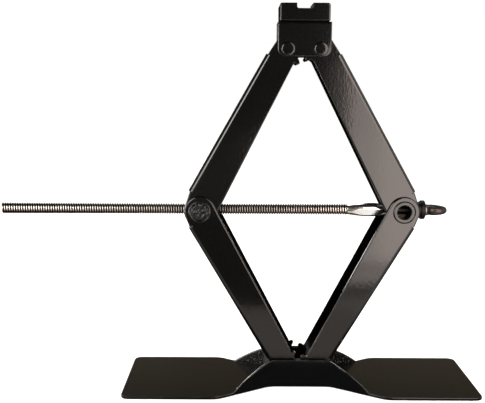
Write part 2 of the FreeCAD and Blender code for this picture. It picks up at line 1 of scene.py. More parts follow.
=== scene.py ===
# %% [markdown]
# # A scissor jack in black enamel
# The jack comes from CAD as a fixed frame: twenty nodes that already stand where they belong, grouped
# in bodies that turn on joints. This notebook only dresses that frame. It keeps the frame's metres, so a
# new piece is modelled right where it sits and nothing has to be fitted afterwards.

import json
import math

import bmesh
import bpy
from mathutils import Matrix, Vector
from mathutils import noise as dent_noise


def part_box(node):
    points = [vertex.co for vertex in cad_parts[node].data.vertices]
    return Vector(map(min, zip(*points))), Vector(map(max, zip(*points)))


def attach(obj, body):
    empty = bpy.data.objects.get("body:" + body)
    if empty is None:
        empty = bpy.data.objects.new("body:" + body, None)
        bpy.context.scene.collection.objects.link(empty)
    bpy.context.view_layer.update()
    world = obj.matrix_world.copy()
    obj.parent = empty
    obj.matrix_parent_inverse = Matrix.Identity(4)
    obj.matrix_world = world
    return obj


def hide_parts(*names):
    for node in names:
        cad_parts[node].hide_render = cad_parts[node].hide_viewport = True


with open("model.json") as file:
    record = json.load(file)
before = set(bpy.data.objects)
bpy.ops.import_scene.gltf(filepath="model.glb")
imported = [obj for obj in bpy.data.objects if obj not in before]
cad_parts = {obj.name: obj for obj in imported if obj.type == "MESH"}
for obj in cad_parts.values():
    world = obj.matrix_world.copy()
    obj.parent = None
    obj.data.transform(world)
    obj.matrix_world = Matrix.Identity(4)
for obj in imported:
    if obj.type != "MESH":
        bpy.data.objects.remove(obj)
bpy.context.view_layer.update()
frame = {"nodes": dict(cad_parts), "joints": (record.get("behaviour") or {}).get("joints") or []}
MM = 0.001
pivot = {joint["name"]: Vector(joint["pos_m"]) for joint in frame["joints"]}

# %% [markdown]
# ## The camera
# The photograph looks at the jack a little from the left and from above. A camera could be pushed about by
# eye until the picture fits. This one was worked out from the corners of the base plate, because a number
# for each turn is easier to check: it looks along the jack's depth, tips down and is rolled a little.

# %% Camera
LENS = 55.67
CAMERA_PLACE = Vector((-59.7, -759.4, 305.2)) * MM
TIP_DOWN = 8.63
ROLL = 0.27
camera_data = bpy.data.cameras.new("photo_camera")
camera_data.lens = LENS
camera = bpy.data.objects.new("photo_camera", camera_data)
camera.location = CAMERA_PLACE
tipped = Matrix.Rotation(math.radians(90 - TIP_DOWN), 4, "X")
rolled = Matrix.Rotation(math.radians(ROLL), 4, "Z")
camera.rotation_euler = (tipped @ rolled).to_euler()
bpy.context.scene.collection.objects.link(camera)
bpy.context.scene.camera = camera
print("camera at", [round(c, 3) for c in camera.location])

# %% [markdown]
# ## Tools for node trees
# The studio and all the finishes are node trees. By hand, a node is placed, its sockets are filled in and
# wires are drawn. These helpers do each of those in one line, so a finish reads like its recipe.

# %% Node tools


def add(tree, kind, **settings):
    """A node of that kind with some of its settings."""
    node = tree.nodes.new(f"ShaderNode{kind}")
    for setting, value in settings.items():
        setattr(node, setting, value)
    return node


def feed(tree, socket, source):
    """Fills a socket with a wire from another one, a colour of three numbers, or a number."""
    if isinstance(source, bpy.types.NodeSocket):
        tree.links.new(source, socket)
    else:
        socket.default_value = (*source, 1) if isinstance(source, tuple) else source


def split(tree, vector):
    """The X, Y and Z of a vector, as sockets."""
    node = add(tree, "SeparateXYZ")
    tree.links.new(vector, node.inputs["Vector"])
    return node.outputs


def color_ramp(tree, value, stops):
    """A colour ramp over a value, with its stops as (position, colour), and its output."""
    node = add(tree, "ValToRGB")
    elements = node.color_ramp.elements
    elements.remove(elements[1])
    elements[0].position = stops[0][0]
    elements[0].color = (*stops[0][1], 1)
    for position, color in stops[1:]:
        elements.new(position).color = (*color, 1)
    tree.links.new(value, node.inputs["Fac"])
    return node.outputs["Color"]


def new_finish(name, values):
    """A material with one Principled shader, whose constants are given by the names of its sockets."""
    finish = bpy.data.materials.new(name)
    finish.use_nodes = True
    shader = finish.node_tree.nodes["Principled BSDF"]
    for socket, value in values.items():
        feed(finish.node_tree, shader.inputs[socket], value)
    return finish, finish.node_tree, shader


print("node tools: add, feed, split, color_ramp, new_finish")

# %% [markdown]
# ## The studio
# The jack stood on a white table in a dark room, and the picture was cleared to white around it. One plain
# background can't be all of this, so the world answers each kind of ray on its own: white to the camera,
# even light to matt surfaces, and a dark warm room to anything that shines. Black enamel is mostly
# reflection, so this is what makes it look black.

# %% World
WHITE = (1, 1, 1)
MATT_LIGHT = 1.3
ROOM = [
    (0.0, (0.07, 0.066, 0.06)), (0.025, (0.03, 0.03, 0.028)), (0.055, (0.18, 0.17, 0.16)),
    (0.09, (0.08, 0.075, 0.07)), (0.15, (0.12, 0.105, 0.085)), (0.33, (0.175, 0.142, 0.098)),
    (0.394, (0.11, 0.092, 0.064)), (0.45, (0.07, 0.06, 0.042)), (0.75, (0.03, 0.028, 0.026)),
]
bpy.context.scene.view_settings.view_transform = "Standard"
world = bpy.data.worlds.new("studio")
bpy.context.scene.world = world
world.use_nodes = True
sky = world.node_tree
sky.nodes.clear()


def background(color, strength=1.0):
    """A glow all around in one colour."""
    node = add(sky, "Background")
    feed(sky, node.inputs["Color"], color)
    node.inputs["Strength"].default_value = strength
    return node.outputs[0]


def choose(test, otherwise, chosen):
    """One glow for the rays that pass a test, and another for the rest."""
    node = add(sky, "MixShader")
    for socket, source in zip(node.inputs, (test, otherwise, chosen)):
        sky.links.new(source, socket)
    return node.outputs[0]


height = split(sky, add(sky, "TexCoord").outputs["Generated"])["Z"]
room = background(color_ramp(sky, height, ROOM))
ray = add(sky, "LightPath").outputs
glow = choose(ray["Is Glossy Ray"], background(WHITE, MATT_LIGHT), room)
glow = choose(ray["Is Camera Ray"], glow, background(WHITE))
sky.links.new(glow, add(sky, "OutputWorld").inputs["Surface"])
print("world nodes", len(sky.nodes))

# %% [markdown]
# Softboxes are area lights that the camera doesn't see but polished faces do. A flat face of enamel mirrors
# the light itself, so each box has the size and place of one bright patch in the photograph. Three side by
# side at the right front draw the sheen on the right arms and let it fade at its left edge. Those at the two
# sides draw the strips along the folds, two far in front light the middle of the screw, and the ones behind
# catch the edges that look up.

# %% Softboxes
PEACH = (1, 0.86, 0.79)
ROSE = (1, 0.93, 0.88)
CREAM = (1, 0.95, 0.90)
LINEN = (1, 0.97, 0.94)
DAYLIGHT = (1, 0.98, 0.95)

# Place and aim in metres, width and height, radiance, tint
SOFTBOXES = {
    "right_front_box": ((0.4525, -0.52, 0.36), (0.4525, 0.0, 0.36), (0.565, 0.70), 6.1, PEACH),
    "right_edge_box": ((0.1425, -0.52, 0.36), (0.1425, 0.0, 0.36), (0.055, 0.70), 4.7, PEACH),
    "right_fade_box": ((0.0975, -0.52, 0.175), (0.0975, 0.0, 0.175), (0.035, 0.34), 0.7, PEACH),
    "right_box": ((0.86, 0.05, 0.55), (0.10, 0.0, 0.30), (0.50, 0.90), 1.6, ROSE),
    "left_box": ((-0.62, -0.78, 0.55), (-0.06, 0.0, 0.27), (0.50, 0.50), 10.0, DAYLIGHT),
    "left_side_box": ((-1.00, 0.05, 0.22), (0.0, 0.05, 0.22), (0.70, 0.44), 12.0, DAYLIGHT),
    "left_low_box": ((-0.95, -0.45, 0.40), (-0.05, 0.0, 0.10), (0.40, 0.40), 1.0, DAYLIGHT),
    "screw_left_box": ((-0.50, -1.30, 0.11), (-0.50, 0.0, 0.11), (0.50, 0.18), 2.5, CREAM),
    "screw_middle_box": ((0.115, -1.30, 0.095), (0.115, 0.0, 0.095), (0.19, 0.15), 4.5, CREAM),
    "back_box": ((0.0, 0.75, 1.25), (0.0, 0.0, 0.10), (0.90, 0.35), 6.0, LINEN),
    "low_back_left_box": ((-0.38, 1.13, 0.15), (0.0, 0.0, 0.02), (0.30, 0.14), 5.0, LINEN),
    "low_back_right_box": ((0.38, 1.13, 0.15), (0.0, 0.0, 0.02), (0.30, 0.14), 2.6, LINEN),
}
for name, (place, aim, (width, tall), radiance, tint) in SOFTBOXES.items():
    bpy.ops.object.light_add(type="AREA", location=place)
    lamp = bpy.context.object
    lamp.name = name
    lamp.rotation_euler = (Vector(aim) - Vector(place)).to_track_quat("-Z", "Y").to_euler()
    lamp.data.shape = "RECTANGLE"
    lamp.data.size = width
    lamp.data.size_y = tall
    lamp.data.energy = radiance * math.pi * width * tall
    lamp.data.color = tint
    lamp.visible_camera = False
print("softboxes", list(SOFTBOXES))

# %% [markdown]
# The floor is a plain pale sheet. A pattern on it would be seen by the camera too, so reflections don't see
# the floor at all: they see cards that lie on it, each with a glow of its own. The pale cards are the table,
# the bright ones carry the lights at the left and right front down to the floor, and the dark ones are
# painted shade, which keeps the base's front wall and the left arms black.

# %% Floor and cards
FLOOR_SIZE = 20
CARD_LIFT = 0.3 * MM
# The colour of the dark cards: painted shade that only reflections see
SHADE = (0.08, 0.078, 0.074)
TABLE = (0.98, 0.86, 0.77)

# From and to along x, from and to along y, in metres, and the glow
CARDS = {
    "room_front": ((-3.0, 3.0), (-4.0, -1.10), (0.15, 0.145, 0.13)),
    "dark_front_left": ((-3.0, -1.3), (-1.10, -0.36), SHADE),
    "dark_front": ((-0.35, 0.06), (-1.10, -0.36), SHADE),
    "dark_front_right": ((0.06, 3.0), (-1.10, -0.53), SHADE),
    "right_glow": ((0.06, 3.0), (-0.53, -0.43), (3.8, 3.3, 3.0)),
    "right_gap": ((0.06, 3.0), (-0.43, -0.36), (0.12, 0.11, 0.10)),
    "left_glow": ((-1.3, -0.35), (-1.10, -0.36), (3.2, 3.1, 3.0)),
    "table_edge_left": ((-3.0, 0.03), (-0.36, -0.30), SHADE),
    "table_edge_right": ((0.03, 3.0), (-0.36, -0.30), (1.25, 1.10, 0.98)),
    "table_front": ((-3.0, 0.10), (-0.30, -0.10), TABLE),
    "table_front_right": ((0.10, 3.0), (-0.30, -0.10), (1.35, 1.34, 1.30)),
    # Painted shade on the floor at the jack's foot, which only reflections see
    "dark_foot": ((-3.0, 3.0), (-0.10, 0.03), (0.05, 0.06, 0.06)),
    "table_back": ((-3.0, 3.0), (0.03, 0.90), (0.60, 0.55, 0.50)),
}
bpy.ops.mesh.primitive_plane_add(size=FLOOR_SIZE)
floor = bpy.context.object
floor.name = "floor"
floor.visible_glossy = False
pale = {"Base Color": (0.9, 0.9, 0.89), "Roughness": 0.8, "Specular IOR Level": 0.0}
floor.data.materials.append(new_finish("pale_floor", pale)[0])
unlit = {"Base Color": (0, 0, 0), "Specular IOR Level": 0.0}
for name, (span_x, span_y, color) in CARDS.items():
    bpy.ops.mesh.primitive_plane_add(size=1, location=(sum(span_x) / 2, sum(span_y) / 2, CARD_LIFT))
    card = bpy.context.object
    card.name = name
    card.scale = (span_x[1] - span_x[0], span_y[1] - span_y[0], 1)
    lit = {"Emission Color": color, "Emission Strength": 1.0}
    card.data.materials.append(new_finish(name, unlit | lit)[0])
    card.visible_camera = False
    card.visible_diffuse = False
    card.visible_shadow = False
print("stage", floor.name, "and cards", list(CARDS))

# %% [markdown]
# ## Patterns for the finishes
# No real surface is even. A picture could carry its marks, but noise worked out from the place on the piece
# has no seams. These helpers give noise, sums, masks between two limits and mixed colours.

# %% Pattern tools


def calc(tree, operation, *sources, clamp=False):
    """A Math node fed by sockets or plain numbers, and its output."""
    node = add(tree, "Math", operation=operation, use_clamp=clamp)
    for socket, source in zip(node.inputs, sources):
        feed(tree, socket, source)
    return node.outputs[0]


def map_range(tree, value, low, high):
    """Maps a value between two limits to 0 and 1."""
    node = add(tree, "MapRange")
    node.inputs["From Min"].default_value = low
    node.inputs["From Max"].default_value = high
    tree.links.new(value, node.inputs["Value"])
    return node.outputs["Result"]


def object_place(tree):
    """The place on the piece, in its own coordinates."""
    return add(tree, "TexCoord").outputs["Object"]


def noise(tree, vector, scale, detail=2.0):
    """Noise over a vector, with the scale as a number or a socket."""
    node = add(tree, "TexNoise")
    node.inputs["Detail"].default_value = detail
    tree.links.new(vector, node.inputs["Vector"])
    feed(tree, node.inputs["Scale"], scale)
    return node.outputs["Fac"]


def mix_color(tree, factor, first, second):
    """A colour between two others, which are sockets or three numbers each."""
    node = add(tree, "Mix", data_type="RGBA")
    tree.links.new(factor, node.inputs["Factor"])
    ends = [socket for socket in node.inputs if socket.type == "RGBA"]
    for socket, source in zip(ends, (first, second)):
        feed(tree, socket, source)
    return next(socket for socket in node.outputs if socket.type == "RGBA")


def new_group(name, inputs, output):
    """An empty shader group with float inputs and one float output, and the sockets inside it."""
    group = bpy.data.node_groups.new(name, "ShaderNodeTree")
    for socket, default in inputs.items():
        made = group.interface.new_socket(socket, in_out="INPUT", socket_type="NodeSocketFloat")
        made.default_value = default
    group.interface.new_socket(output, in_out="OUTPUT", socket_type="NodeSocketFloat")
    return group, group.nodes.new("NodeGroupInput").outputs, group.nodes.new("NodeGroupOutput").inputs


print("pattern tools: calc, map_range, object_place, noise, mix_color, new_group")

# %% [markdown]
# ## Effects that several finishes share
# A dipped enamel dries with a fine skin like an orange's, drawn out a little where it ran down. It is too
# fine to model, so it is a height for a bump to read: slow waves with finer grit on them. Each effect is a
# node group with its own inputs, so every finish uses it with its own values.

# %% Orange peel
RUNS = (1.0, 1.0, 0.45)
GRIT_FINENESS = 4.3
peel_group, given, result = new_group("orange_peel", {"Scale": 300.0, "Grit": 0.2}, "Height")
runs = add(peel_group, "Mapping")
runs.inputs["Scale"].default_value = RUNS
peel_group.links.new(object_place(peel_group), runs.inputs["Vector"])
place = runs.outputs["Vector"]
waves = noise(peel_group, place, given["Scale"], detail=1.0)
fine_scale = calc(peel_group, "MULTIPLY", given["Scale"], GRIT_FINENESS)
grit = calc(peel_group, "MULTIPLY", noise(peel_group, place, fine_scale), given["Grit"])
peel_group.links.new(calc(peel_group, "ADD", waves, grit), result["Height"])
print("group", peel_group.name)

# %% [markdown]
# Paint wears thin along the edges, where hands and tools rub. It could be painted on by hand, but a Bevel
# node finds every edge: where its rounded normal differs from the true one, there is an edge. A coarse noise
# then leaves only some stretches bare.

# %% Rubbed edges
FLAT = 0.995
EDGE_GAIN = 9.0
PATCH_SCALE = 140.0
PATCH_GAIN = 6.0
wear_group, given, result = new_group("rubbed_edges", {"Width": 0.0006, "Amount": 1.0}, "Mask")
rounded = add(wear_group, "Bevel", samples=4)
wear_group.links.new(given["Width"], rounded.inputs["Radius"])
likeness = add(wear_group, "VectorMath", operation="DOT_PRODUCT")
wear_group.links.new(rounded.outputs["Normal"], likeness.inputs[0])
wear_group.links.new(add(wear_group, "NewGeometry").outputs["Normal"], likeness.inputs[1])
edge = calc(wear_group, "SUBTRACT", FLAT, likeness.outputs["Value"])
edge = calc(wear_group, "MULTIPLY", edge, EDGE_GAIN, clamp=True)
patch = noise(wear_group, object_place(wear_group), PATCH_SCALE, detail=4.0)
patch = calc(wear_group, "SUBTRACT", patch, 0.5)
patch = calc(wear_group, "MULTIPLY", patch, PATCH_GAIN, clamp=True)
mask = calc(wear_group, "MULTIPLY", edge, patch)
mask = calc(wear_group, "MULTIPLY", mask, given["Amount"], clamp=True)
wear_group.links.new(mask, result["Mask"])
print("group", wear_group.name)

# %% [markdown]
# Grease and dust make a surface mirror more sharply here and less there. One value for the roughness would
# look like plastic, so this group wanders between a low and a high one.

# %% Smears
smear_group, given, result = new_group("smears", {"Low": 0.2, "High": 0.3, "Scale": 25.0}, "Roughness")
smear = noise(smear_group, object_place(smear_group), given["Scale"], detail=5.0)
span = calc(smear_group, "SUBTRACT", given["High"], given["Low"])
rough = calc(smear_group, "MULTIPLY_ADD", smear, span, given["Low"])
smear_group.links.new(rough, result["Roughness"])
print("group", smear_group.name)

# %% [markdown]
# ## The finishes
# The enamel is a nearly black paint. It could be layers of shaders, but one Principled shader is enough: its
# colour is the paint, rubbed through to bare steel in small spots along the edges, its roughness changes in
# smears, and its normal carries the orange peel. The trunnions' paint is thinner and rougher, on the nut it
# also shines less, and the collar is dull.

# %% Enamel finishes
BLACK_PAINT = (0.0008, 0.0008, 0.0008)
THIN_PAINT = (0.0015, 0.0014, 0.0013)
DULL_BLACK = (0.002, 0.002, 0.002)
BARE_STEEL = (0.30, 0.27, 0.24)


def use(tree, group, **values):
    """Places a group in a tree with its own values, and gives its outputs."""
    node = tree.nodes.new("ShaderNodeGroup")
    node.node_tree = group
    for socket, value in values.items():
        node.inputs[socket].default_value = value
    return node.outputs


def raise_skin(tree, shader, height, depth):
    """Lets a height bend the shader's normal through a Bump node."""
    bump = add(tree, "Bump")
    bump.inputs["Distance"].default_value = depth
    tree.links.new(height, bump.inputs["Height"])
    tree.links.new(bump.outputs["Normal"], shader.inputs["Normal"])


def enamel(name, color, rough, peel, grit, wear, specular=0.5):
    """A painted steel with orange peel (its scale and depth), smears and rubbed edges."""
    material, tree, shader = new_finish(name, {"Specular IOR Level": specular})
    raise_skin(tree, shader, use(tree, peel_group, Scale=peel[0], Grit=grit)["Height"], peel[1])
    smears = use(tree, smear_group, Low=rough[0], High=rough[1])["Roughness"]
    feed(tree, shader.inputs["Roughness"], smears)
    rubbed = use(tree, wear_group, Amount=wear)["Mask"]
    feed(tree, shader.inputs["Base Color"], mix_color(tree, rubbed, color, BARE_STEEL))
    feed(tree, shader.inputs["Metallic"], rubbed)
    return material


black_enamel = enamel("black_enamel", BLACK_PAINT, (0.09, 0.14), (480.0, 0.042 * MM), 0.12, 0.5)
trunnion_enamel = enamel("trunnion_enamel", THIN_PAINT, (0.16, 0.28), (500.0, 0.06 * MM), 0.6, 0.9)
nut_enamel = enamel("nut_enamel", THIN_PAINT, (0.16, 0.28), (500.0, 0.06 * MM), 0.6, 0.6, specular=0.30)
collar_black = enamel("collar_black", DULL_BLACK, (0.30, 0.45), (600.0, 0.06 * MM), 0.4, 0.1, specular=0.12)
print("enamels", black_enamel.name, trunnion_enamel.name, nut_enamel.name, collar_black.name)

# %% [markdown]
# The inside of the base's back wall is rough, with lumps and dull specks in the paint. They are finer than a
# mesh should carry, so the base gets an enamel of its own: a mask finds that wall by its place and by the
# way it faces, and noise makes the lumps and specks there.

# %% Specks on the base's back wall
WALL_DEPTH = (15 * MM, 17 * MM)
WALL_FOOT = (3.5 * MM, 6.0 * MM)
WALL_FACING = (-0.2, -0.4)
LUMP_SCALE = 850.0
LUMP_HEIGHT = 3.0
SPECK_SCALE = 620.0
SPECK_LIMITS = (0.60, 0.70)
SPECK_COLOR = (0.035, 0.035, 0.035)
SPECK_DULLNESS = 0.5


def source_of(socket):
    """The socket that feeds this one."""
    return socket.links[0].from_socket


gritty_enamel = enamel("gritty_enamel", BLACK_PAINT, (0.09, 0.14), (480.0, 0.042 * MM), 0.12, 0.5)
tree = gritty_enamel.node_tree
shader = tree.nodes["Principled BSDF"]
skin = source_of(shader.inputs["Normal"]).node.inputs["Height"]
place = object_place(tree)
where = split(tree, place)
facing = split(tree, add(tree, "NewGeometry").outputs["Normal"])
on_wall = map_range(tree, where["Y"], *WALL_DEPTH)
on_wall = calc(tree, "MULTIPLY", on_wall, map_range(tree, where["Z"], *WALL_FOOT))
on_wall = calc(tree, "MULTIPLY", on_wall, map_range(tree, facing["Y"], *WALL_FACING))
lumps = calc(tree, "MULTIPLY", noise(tree, place, LUMP_SCALE, detail=3.0), LUMP_HEIGHT)
lumps = calc(tree, "MULTIPLY", lumps, on_wall)
tree.links.new(calc(tree, "ADD", source_of(skin), lumps), skin)
specks = map_range(tree, noise(tree, place, SPECK_SCALE), *SPECK_LIMITS)
specks = calc(tree, "MULTIPLY", specks, on_wall)
speckled = mix_color(tree, specks, source_of(shader.inputs["Base Color"]), SPECK_COLOR)
feed(tree, shader.inputs["Base Color"], speckled)
dulled = calc(tree, "MULTIPLY_ADD", specks, SPECK_DULLNESS, source_of(shader.inputs["Roughness"]))
feed(tree, shader.inputs["Roughness"], dulled)
print("speckled", gritty_enamel.name, "nodes", len(tree.nodes))

# %% [markdown]
# The spacers and the screw are bare steel, a metal with fine tool marks in its skin. The enamel's groups make
# these, and the spacers' smears, with other values, so no new pattern is needed.

# %% Steel finishes
STEEL_GRIT = 0.5


def steel(name, grain):
    """Bare steel with fine marks (their scale and depth), whose colour and roughness are still to come."""
    material, tree, shader = new_finish(name, {"Metallic": 1.0})
    raise_skin(tree, shader, use(tree, peel_group, Scale=grain[0], Grit=STEEL_GRIT)["Height"], grain[1])
    return material, tree, shader


turned_steel, tree, shader = steel("turned_steel", (500.0, 0.05 * MM))
feed(tree, shader.inputs["Base Color"], (0.45, 0.44, 0.43))
feed(tree, shader.inputs["Roughness"], use(tree, smear_group, Low=0.25, High=0.40, Scale=120.0)["Roughness"])
print("steel", turned_steel.name)

# %% [markdown]
# The screw is one bar with four looks: a rolled thread with dark oil and painted shade in its roots, a bright
# crushed flat, a neck darkened to nearly black where it lies in the bearing and a brown forged eye. Four
# materials would leave hard lines between them. One can hold them all: a ramp along the bar gives the colour
# of each stretch, and the distance from the bar's axis tells crest from root. The thread is also painted
# darker where
# it is seen at a slant: a painted shade along its upper and lower edges.

# %% Steel of the screw
SCREW_AXIS = pivot["screw_turn"]
SCREW_ENDS = [corner.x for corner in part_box("lifting_screw")]
ROLLED = (0.78, 0.70, 0.635)
CRUSHED = (0.72, 0.71, 0.69)
# The neck where it lies in the bearing is darkened to nearly black
DARK_NECK = (0.02, 0.018, 0.016)
SHOULDER = (0.22, 0.19, 0.17)
FORGED = (0.046, 0.039, 0.035)
# Dark oil in the thread's roots and flanks, and also painted shade that deepens them
ROOT_OIL_AND_SHADE = (0.022, 0.017, 0.014)
# Painted shade: the thread turns this dark where it is seen at a slant
SLANT_SHADE = (0.014, 0.011, 0.009)

# Millimetres from the bearing's middle, colour, roughness
STRETCHES = [
    (-60.0, ROLLED, 0.34), (-55.0, CRUSHED, 0.16), (-15.0, CRUSHED, 0.18), (-13.0, DARK_NECK, 0.45),
    (23.0, DARK_NECK, 0.45), (24.3, SHOULDER, 0.40), (26.2, SHOULDER, 0.40), (26.8, FORGED, 0.38),
]
CREST_LIMITS = (5.05 * MM, 5.45 * MM)
THREAD_FADE = (SCREW_AXIS.x - 57 * MM, SCREW_AXIS.x - 54 * MM)
SLANT_SHADE_LIMITS = (0.03, 0.24)
SPECKLE_SCALE = 420.0


def place_along(offset):
    """Where a point lies on the bar, from 0 at its left end to 1, by its millimetres from the bearing."""
    return (SCREW_AXIS.x + offset * MM - SCREW_ENDS[0]) / (SCREW_ENDS[1] - SCREW_ENDS[0])


def stretch_ramp(tree, along, colors):
    """A colour ramp with one stop for each end of a stretch."""
    places = [0.0] + [place_along(offset) for offset, *_ in STRETCHES]
    return color_ramp(tree, along, list(zip(places, colors[:1] + colors)))


rolled_steel, tree, shader = steel("rolled_steel", (700.0, 0.03 * MM))
bar = object_place(tree)
where = split(tree, bar)
along = map_range(tree, where["X"], *SCREW_ENDS)
bar_color = stretch_ramp(tree, along, [color for _, color, _ in STRETCHES])
bar_rough = stretch_ramp(tree, along, [(rough, rough, rough) for *_, rough in STRETCHES])
above = calc(tree, "SUBTRACT", where["Z"], SCREW_AXIS.z)
squares = calc(tree, "MULTIPLY", where["Y"], where["Y"])
squares = calc(tree, "ADD", calc(tree, "MULTIPLY", above, above), squares)
# Below the crest, roots and flanks get the dark oil and the painted shade
crest = map_range(tree, calc(tree, "SQRT", squares), *CREST_LIMITS)
past_thread = map_range(tree, where["X"], *THREAD_FADE)
crests_and_plain_bar = calc(tree, "MAXIMUM", crest, past_thread)
oiled_and_shaded = mix_color(tree, crests_and_plain_bar, ROOT_OIL_AND_SHADE, bar_color)
# Painted shade on the thread's upper and lower edges, by how slanted the view is
slant_shade = map_range(tree, add(tree, "LayerWeight").outputs["Facing"], *SLANT_SHADE_LIMITS)
slant_shade = calc(tree, "MULTIPLY", slant_shade, calc(tree, "SUBTRACT", 1.0, past_thread))
feed(tree, shader.inputs["Base Color"], mix_color(tree, slant_shade, oiled_and_shaded, SLANT_SHADE))
speckle = calc(tree, "ADD", noise(tree, bar, SPECKLE_SCALE, detail=3.0), 0.5)
feed(tree, shader.inputs["Roughness"], calc(tree, "MULTIPLY", bar_rough, speckle))
print("screw steel stretches", [round(place_along(offset), 3) for offset, *_ in STRETCHES])

# %% [markdown]
# ## Working by hand in code
# A few helpers stand for what a hand does in the viewport: pick a piece, draw an outline point by point,
# select the edges that a test names, apply a modifier, spin a section and hand a finished piece to its body.

# %% Picking and selecting


def pick(piece):
    """Makes one piece the only selected and active one."""
    bpy.ops.object.select_all(action="DESELECT")
    piece.hide_set(False)
    piece.select_set(True)
    bpy.context.view_layer.objects.active = piece


def edit(piece, mode="EDGE"):
    """Opens a piece in edit mode with nothing selected."""
    pick(piece)
    bpy.ops.object.mode_set(mode="EDIT")
    bpy.ops.mesh.select_mode(type=mode)
    bpy.ops.mesh.select_all(action="DESELECT")


def done():
    """Leaves edit mode."""
    bpy.ops.object.mode_set(mode="OBJECT")


def select_edges(piece, test):
    """Selects, in edit mode, the edges that pass the test."""
    shape = bmesh.from_edit_mesh(piece.data)
    for edge in shape.edges:
        if test(edge):
            edge.select_set(True)
    bmesh.update_edit_mesh(piece.data)


def modify(piece, kind, **settings):
    """Adds a modifier, sets it up and applies it."""
    pick(piece)
    modifier = piece.modifiers.new(kind.lower(), kind)
    for setting, value in settings.items():
        setattr(modifier, setting, value)
    bpy.ops.object.modifier_apply(modifier=modifier.name)


def combine(piece, operation, other):
    """Cuts another piece out of this one or unites the two, and takes the other away."""
    modify(piece, "BOOLEAN", operation=operation, solver="EXACT", object=other)
    bpy.data.objects.remove(other)


def weld(threshold, outward=False):
    """Merges, in edit mode, vertices that lie together, and can turn all faces outward."""
    bpy.ops.mesh.select_all(action="SELECT")
    bpy.ops.mesh.remove_doubles(threshold=threshold)
    if outward:
        bpy.ops.mesh.normals_make_consistent(inside=False)


def settle(piece):
    """Applies a piece's place, turn and scale to its mesh."""
    pick(piece)
    bpy.ops.object.transform_apply(location=True, rotation=True, scale=True)


print("hand tools: pick, edit, done, select_edges, modify, combine, weld, settle")

# %% Drawing and spinning
MERGE = 0.01 * MM
TINY = 1e-6


def draw(name, points, closed=True):
    """Draws an outline: one vertex, extruded from point to point."""
    bpy.ops.mesh.primitive_plane_add(size=MM)
    piece = bpy.context.object
    piece.name = name
    bpy.ops.object.mode_set(mode="EDIT")
    bpy.ops.mesh.select_mode(type="VERT")
    bpy.ops.mesh.merge(type="CENTER")
    bpy.ops.transform.translate(value=points[0])
    for start, end in zip(points, points[1:]):
        bpy.ops.mesh.extrude_vertices_move(TRANSFORM_OT_translate={"value": end - start})
    if closed:
        bpy.ops.mesh.select_all(action="DESELECT")
        shape = bmesh.from_edit_mesh(piece.data)
        for vert in shape.verts:
            if min((vert.co - points[0]).length, (vert.co - points[-1]).length) < 0.1 * TINY:
                vert.select_set(True)
        bmesh.update_edit_mesh(piece.data)
        bpy.ops.mesh.edge_face_add()
    return piece


def turn(name, section, centre, axis, steps=64):
    """Spins a section about an axis through the centre. A section is (along, radius) in millimetres."""
    along = {"X": Vector((1, 0, 0)), "Y": Vector((0, 1, 0))}[axis]
    up = Vector((0, 0, 1))
    piece = draw(name, [centre + (along * a + up * r) * MM for a, r in section], closed=False)
    bpy.ops.mesh.select_all(action="SELECT")
    bpy.ops.mesh.spin(steps=steps, angle=math.tau, center=centre, axis=along)
    weld(MERGE, outward=True)
    done()
    return piece


def both_ends(section):
    """A section with its mirror image at the far end."""
    return section + [(-along, radius) for along, radius in reversed(section)]


def finely(section, step):
    """A section with its long runs divided, so that a press or a hammer can leave its mark."""
    fine = [section[0]]
    for (a, r), (b, s) in zip(section, section[1:]):
        pieces = max(1, round(math.hypot(b - a, s - r) / step))
        fine += [(a + (b - a) * i / pieces, r + (s - r) * i / pieces) for i in range(1, pieces + 1)]
    return fine


print("drawing tools: draw, turn, both_ends, finely")

# %% Handing a piece over
SMOOTH_ANGLE = math.radians(32)


def measure(piece, node):
    """Prints by how many millimetres a piece reaches past its CAD node, low and high on each axis."""
    low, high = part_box(node)
    own = [vertex.co for vertex in piece.data.vertices]
    past_low = [round((low[i] - min(p[i] for p in own)) / MM, 2) for i in range(3)]
    past_high = [round((max(p[i] for p in own) - high[i]) / MM, 2) for i in range(3)]
    print(piece.name, "past", node, past_low, past_high)


def hand_over(piece, body, slot, material, *nodes_replaced):
    """Gives a finished piece its shading and finish, hangs it on its body and hides the CAD nodes that it
    stands for. The slot is not used.
    """
    pick(piece)
    bpy.ops.object.shade_smooth_by_angle(angle=SMOOTH_ANGLE)
    modify(piece, "WEIGHTED_NORMAL", mode="FACE_AREA", weight=100, keep_sharp=True)
    piece.data.materials.clear()
    piece.data.materials.append(material)
    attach(piece, body)
    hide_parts(*nodes_replaced)
    print(piece.name, "rides on", body, "faces", len(piece.data.polygons))


print("handing over with edges smooth below", round(math.degrees(SMOOTH_ANGLE)), "degrees")

# %% [markdown]
# ## The four arms
# A real arm is one blank of sheet steel, pressed into a U: two flanges with an ear for the trunnion and gear
# teeth, joined by a web at the back. It could be cut from a block, but drawing it as the press makes it is
# simpler: one flat flange, a fold, half a web, a mirrored copy, and the sheet's thickness at the end. First
# come the sizes, in millimetres. The arm's length and lean are read from the frame's joints.

